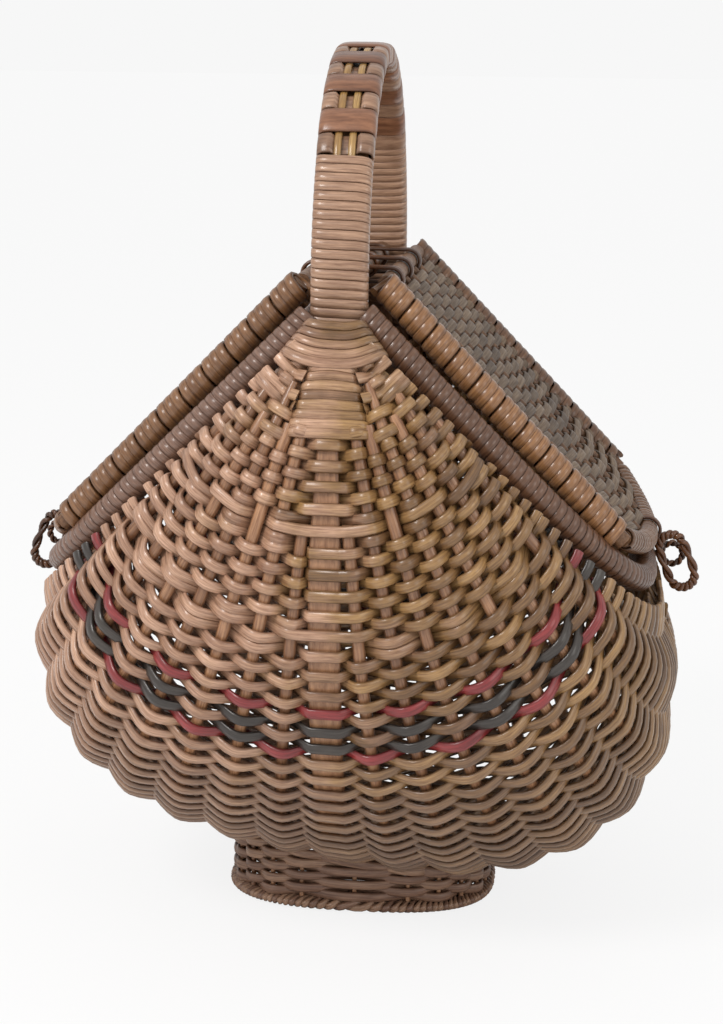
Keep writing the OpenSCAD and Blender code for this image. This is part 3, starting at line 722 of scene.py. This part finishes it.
def lid_rows():
    rows = []
    stake_y = np.arange(-3, 4) * 24.0
    for k in range(LID_ROWS):
        x0 = LID_FIRST + k * LID_PITCH
        signs = np.where((np.arange(7) + k) % 2, -1.0, 1.0) * 2.75
        ys = np.concatenate([[-ROW_END], stake_y, [ROW_END]])
        hs = np.concatenate([[-signs[0]], signs, [-signs[-1]]])
        y, z = [], []
        for a, b, ha, hb in zip(ys, ys[1:], hs, hs[1:]):
            x = np.array([0, 0.15, 0.35, 0.5, 0.65, 0.85])
            y.extend(a + x * (b - a))
            z.extend(ha + (hb - ha) * x * x * (3 - 2 * x))
        y, z = np.array(y + [ROW_END]), np.array(z + [hs[-1]])
        bow = LID_BOW * (x0 / LID_L) ** 2 * (1 - (y / SIDE_Y) ** 2)
        x = x0 + bow + rng.normal(0, 0.12)
        rows.append(path(np.stack([x, y, z], -1), [0, 0, 1.0], size=rng.uniform(0.96, 1.05)))
    return rows

def side_core(y):
    def core(s):
        one = np.ones_like(s)
        return (np.stack([s - 1, y * one, 0 * one], -1), np.broadcast_to([0, 1.0, 0], (len(s), 3)),
                np.broadcast_to([0, 0, 1.0], (len(s), 3)))
    return core

def bow_core(s):
    a = s / BOW_R - BOW_HALF_TURN
    ray = np.stack([np.cos(a), np.sin(a), 0 * a], -1)
    middle = ray * BOW_R + [LID_L + LID_BOW - BOW_R, 0, 0]
    return middle, ray, np.broadcast_to([0, 0, 1.0], ray.shape)

for side, word in ((-1, "left"), (1, "right")):
    place_lid, turn_lid = lid_frame(side)
    body, lid = f"lid_{word}", f"lid_{word}_"
    piece(lid + "panel", moved(lid_rows(), place_lid, turn_lid), 5.0, 1.9, lid_reed, body,
          [lid + "weave"], 1.3)
    rolls = [wind(side_core(y), ROLL_R, ROLL_R, 4.2, LID_L, every=3, gap=1.2, lead=y / 400)
             for y in (-SIDE_Y, SIDE_Y)]
    piece(lid + "rolls", moved(rolls, place_lid, turn_lid), 5.0, 2.5, roll_reed, body,
          [lid + "side_wraps"], 1.5)
    bow = [wind(bow_core, BOW_WOUND_R, BOW_WOUND_R, 4.0, 2 * BOW_HALF_TURN * BOW_R, every=4,
                gap=1.2)]
    piece(lid + "bow", moved(bow, place_lid, turn_lid), 4.4, 1.5, roll_reed, body,
          [lid + "outer_wrap"], 1.5)

# %% [markdown]
# ## Hinge loops and closing loops
# Each lid turns in three loops of cane that are wound round the ridge bar and its hinge rod.
# At the outer edge hangs a ring of two thin reeds twisted together, and a smaller one stands on
# the rim beside it. Twisting two paths round one middle line gives the rope look for little.

# %% Loops
LOOP_LEAN = 22.0                     # how far a hanging ring leans away from the basket
HINGE_LOOPS_Y = (60, 12, -36)
RING_HALF_RUN, RING_R, SMALL_RING_R = 7.0, 6.2, 5.0

def racetrack(y):
    """Once round the ridge bar and the hinge rod, like a belt round two wheels."""
    r0, r1 = 5.6, 5.4
    a = np.linspace(math.pi / 2, 3 * math.pi / 2, 12)
    b = np.linspace(-math.pi / 2, math.pi / 2, 12)
    x = np.concatenate([r0 * np.cos(a), HINGE_X + r1 * np.cos(b)])
    z = np.concatenate([r0 * np.sin(a), r1 * np.sin(b)])
    out = np.stack([np.concatenate([np.cos(a), np.cos(b)]), 0 * x,
                    np.concatenate([np.sin(a), np.sin(b)])], -1)
    return path(np.stack([x, y + 0 * x, EAR_Z + z], -1), out, closed=True)

def twisted(middle, across, outward, turns, radius, closed=True):
    """Two strands wound round a middle line."""
    phase = 2 * np.pi * turns * np.arange(len(middle)) / (len(middle) - (0 if closed else 1))
    pair = []
    for start in (0, np.pi):
        ray = np.cos(phase + start)[:, None] * across + np.sin(phase + start)[:, None] * outward
        pair.append(path(middle + radius * ray, ray, closed=closed))
    return pair

def ring(half_run, radius, count=96):
    """A long round-ended ring in the XZ plane, with its outward directions."""
    a = np.linspace(0, 2 * np.pi, count, endpoint=False)
    out = np.stack([np.cos(a), 0 * a, np.sin(a)], -1)
    return radius * out + np.stack([0 * a, 0 * a, half_run * np.tanh(3 * np.sin(a))], -1), out

for side, word in ((-1, "left"), (1, "right")):
    flip = np.array([side, 1, 1])
    windings = [racetrack(-y + shift) for y in HINGE_LOOPS_Y for shift in (-2.3, 0, 2.3)]
    windings = moved(windings, lambda p: p * [side, side, 1], lambda d: d * [side, side, 1])
    piece(f"hinge_windings_{word}", windings, 2.4, 1.7, dark_reed, "basket",
          [f"hinge_loops_{word}"], 1.4)
    middle, out = ring(RING_HALF_RUN, RING_R)
    rope = twisted(middle + [8.2, 0, -18.8], np.broadcast_to([0, 1.0, 0], out.shape), out, 8, 1.15)
    a = np.linspace(0, 6 * np.pi, 60)
    ray = np.stack([np.cos(a), 0 * a, np.sin(a)], -1)
    collar = 6.4 * ray + np.stack([0 * a, np.linspace(-1.6, 1.6, 60), 0 * a], -1)
    rope.append(path(collar, ray, 0.7))
    lean = math.radians(-LOOP_LEAN)
    turn = np.array([[math.cos(lean), 0, -math.sin(lean)], [0, 1, 0],
                     [math.sin(lean), 0, math.cos(lean)]])
    pivot = np.array([HINGE_X + (LID_L + LID_BOW) * math.cos(SLOPE), 0,
                      EAR_Z - (LID_L + LID_BOW) * math.sin(SLOPE)])
    rope = moved(rope, lambda p: (p @ turn + pivot) * flip, lambda d: d @ turn * flip)
    piece(f"closing_rope_{word}", rope, 2.5, 2.3, dark_reed, f"loop_{word}",
          [f"lid_{word}_loop"])
    middle, out = ring(0.0, SMALL_RING_R, 64)
    small = twisted(middle, np.broadcast_to([0, 1.0, 0], out.shape), out, 5, 0.85)
    neck = np.linspace(-8.6, -4.6, 8)
    small += twisted(np.stack([neck, 0 * neck, 0 * neck], -1), np.array([0, 1.0, 0]),
                     np.array([0, 0, 1.0]), 0.7, 0.7, closed=False)
    low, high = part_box(f"rim_loop_{word}")
    centre = np.array([max(abs(low.x), abs(high.x)) * 1000 - 6.7, 9.0, (low.z + high.z) * 500])
    small = moved(small, lambda p: (p + centre) * flip, lambda d: d * flip)
    piece(f"rim_rope_{word}", small, 1.9, 1.75, dark_reed, "basket",
          [f"rim_loop_{word}"])

# %% [markdown]
# ## The foot
# The basket stands on a low oval foot: a plaited border on the ground, and a few rows woven round
# thin upright stakes up to the belly. The rows are closed paths that pass the stakes in turn, and
# where the belly comes down low they crowd together under it.

# %% Foot
FOOT_HALF_X, FOOT_HALF_Y, FOOT_POWER = 65, 49, 2 / 2.9

def foot_outline(inset, count, start=0.0):
    w = 2 * np.pi * (np.arange(count) + start) / count
    c, d = np.cos(w), np.sin(w)
    x = 4 + (FOOT_HALF_X - inset) * np.sign(c) * np.abs(c) ** FOOT_POWER
    y = (FOOT_HALF_Y - inset) * np.sign(d) * np.abs(d) ** FOOT_POWER
    nx = np.sign(c) * np.abs(c) ** (2 - FOOT_POWER) / FOOT_HALF_X
    ny = np.sign(d) * np.abs(d) ** (2 - FOOT_POWER) / FOOT_HALF_Y
    out = np.stack([nx, ny, 0 * nx], -1)
    return x, y, out / np.linalg.norm(out, axis=1, keepdims=True)

def under_belly(x, y):
    """Height of the belly's underside above a place in the foot."""
    a = np.full_like(x, 0.15)
    for _ in range(12):
        half, middle, reach, n = rib_form(np.degrees(a))
        v = middle + reach * (1 - (np.abs(y) / half) ** n) ** (1 / n)
        a = np.arcsin(np.clip(x / v, -0.9, 0.9))
    lean = -facing_out(np.degrees(a), y, v)[:, 2]
    return EAR_Z - v * np.cos(a) - 5.5 / lean

STAKES, PER_STAKE = 22, 12
FOOT_ROWS, FOOT_FIRST, FOOT_PITCH = 8, 7.6, 3.0
x, y, out = foot_outline(5.0, STAKES, 0.5)
top = under_belly(x, y) - 1
posts = [path([[px, py, 6.0], [px, py, (6.0 + h) / 2], [px, py, h]], o) for px, py, h, o in
         zip(x, y, top, out)]
piece("foot_posts", posts, 2.4, 2.4, rib_reed, "basket", ["foot_stakes"])

rows = []
count = STAKES * PER_STAKE
x, y, out = foot_outline(5.2, count)
ceiling = under_belly(x, y) + 1.5
for k in range(FOOT_ROWS):
    wave = np.cos(np.pi * (np.arange(count) / PER_STAKE - 0.5 + k)) * 2.1
    z = np.minimum(FOOT_FIRST + FOOT_PITCH * k, ceiling - 0.3 * (FOOT_ROWS - k))
    rows.append(path(np.stack([x, y, z], -1) + wave[:, None] * out, out, rng.uniform(0.95, 1.05),
                     closed=True))
piece("foot_rows", rows, 4.6, 2.2, foot_reed, "basket", ["foot_weave"], 1.3)

count = 400
x, y, out = foot_outline(5.5, count)
plait = []
for strand in range(3):
    phase = 2 * np.pi * (38 * np.arange(count) / count + strand / 3)
    middle = np.stack([x, y, 3.1 + 1.35 * np.sin(phase)], -1)
    plait.append(path(middle + 3.2 * np.cos(phase)[:, None] * out, out, closed=True))
piece("foot_plait", plait, 3.6, 3.4, foot_reed, "basket", ["foot_border"])

# %% [markdown]
# ## Rods that stay as CAD made them
# The ridge bar, the rims, the core of the handle and the rods and stakes of the lids have the
# right shape already. They only need wood on them. What shows of most of them is a cut end or a
# narrow strip between two windings, so one bare finish does for all.

# %% Bare rods
for node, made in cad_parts.items():
    if not made.hide_render:
        made.data.materials.clear()
        made.data.materials.append(bare_rod)
print("CAD pieces that show:", sum(not o.hide_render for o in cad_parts.values()))

# %% [markdown]
# ## Floor, light and air
# The photograph has the basket cut out on white. A pale floor under a soft white sky comes close,
# and the floor keeps a faint shadow so the basket stands on something. A broad lamp from the left
# and above gives the small bright highlights on the varnish, and the rest comes from all around.

# %% Floor and lights
def floor_material():
    material = bpy.data.materials.new("floor")
    material.use_nodes = True
    tree = material.node_tree
    tree.nodes.clear()
    seen = shade_node(tree, "LightPath").outputs
    matt = shade_node(tree, "BsdfDiffuse", Color=linear(240, 240, 240)).outputs[0]
    white = shade_node(tree, "Emission", Color=linear(255, 255, 255), Strength=1.0).outputs[0]
    blend = shade_node(tree, "MixShader")
    whole = math_node(tree, "MULTIPLY", seen["Is Camera Ray"], 0.84)
    tree.links.new(whole, blend.inputs[0])
    tree.links.new(matt, blend.inputs[1])
    tree.links.new(white, blend.inputs[2])
    end = tree.nodes.new("ShaderNodeOutputMaterial")
    tree.links.new(blend.outputs[0], end.inputs[0])
    return material

ground = bpy.data.meshes.new("floor")
ground.from_pydata([(-60, -60, 0), (60, -60, 0), (60, 90, 0), (-60, 90, 0)], [], [(0, 1, 2, 3)])
ground.materials.append(floor_material())
floor = bpy.data.objects.new("floor", ground)
bpy.context.scene.collection.objects.link(floor)
floor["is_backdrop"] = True

world = bpy.data.worlds.new("sky")
world.use_nodes = True
bpy.context.scene.world = world
sky = world.node_tree
seen = shade_node(sky, "LightPath").outputs
watched = math_node(sky, "MAXIMUM", seen["Is Camera Ray"], seen["Is Transmission Ray"])
strength = ramp(sky, watched, 0.0, 1.0, 0.72, 0.93)
backdrop = sky.nodes["Background"]
backdrop.inputs["Color"].default_value = (1, 1, 1, 1)
sky.links.new(strength, backdrop.inputs["Strength"])

def lamp(name, place, aim, size, power, colour):
    data = bpy.data.lights.new(name, "AREA")
    data.shape, data.size, data.energy, data.color = "DISK", size, power, colour
    made = bpy.data.objects.new(name, data)
    made.location = place
    made.rotation_euler = (Vector(aim) - Vector(place)).to_track_quat("-Z", "Y").to_euler()
    bpy.context.scene.collection.objects.link(made)

lamp("window", (-0.9, -1.2, 1.5), (0, 0, 0.2), 0.7, 19, (1.0, 0.97, 0.95))
lamp("fill", (1.5, -1.0, 0.9), (0, 0, 0.2), 1.2, 6, (1.0, 0.98, 0.94))
view = bpy.context.scene.view_settings
view.view_transform = "Standard"
print("lamps:", len(bpy.data.lights))

# %% Sizes for the record, and the end
low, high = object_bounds()
print("visual box in mm:", [round(x * 1000) for x in (*low, *high)])
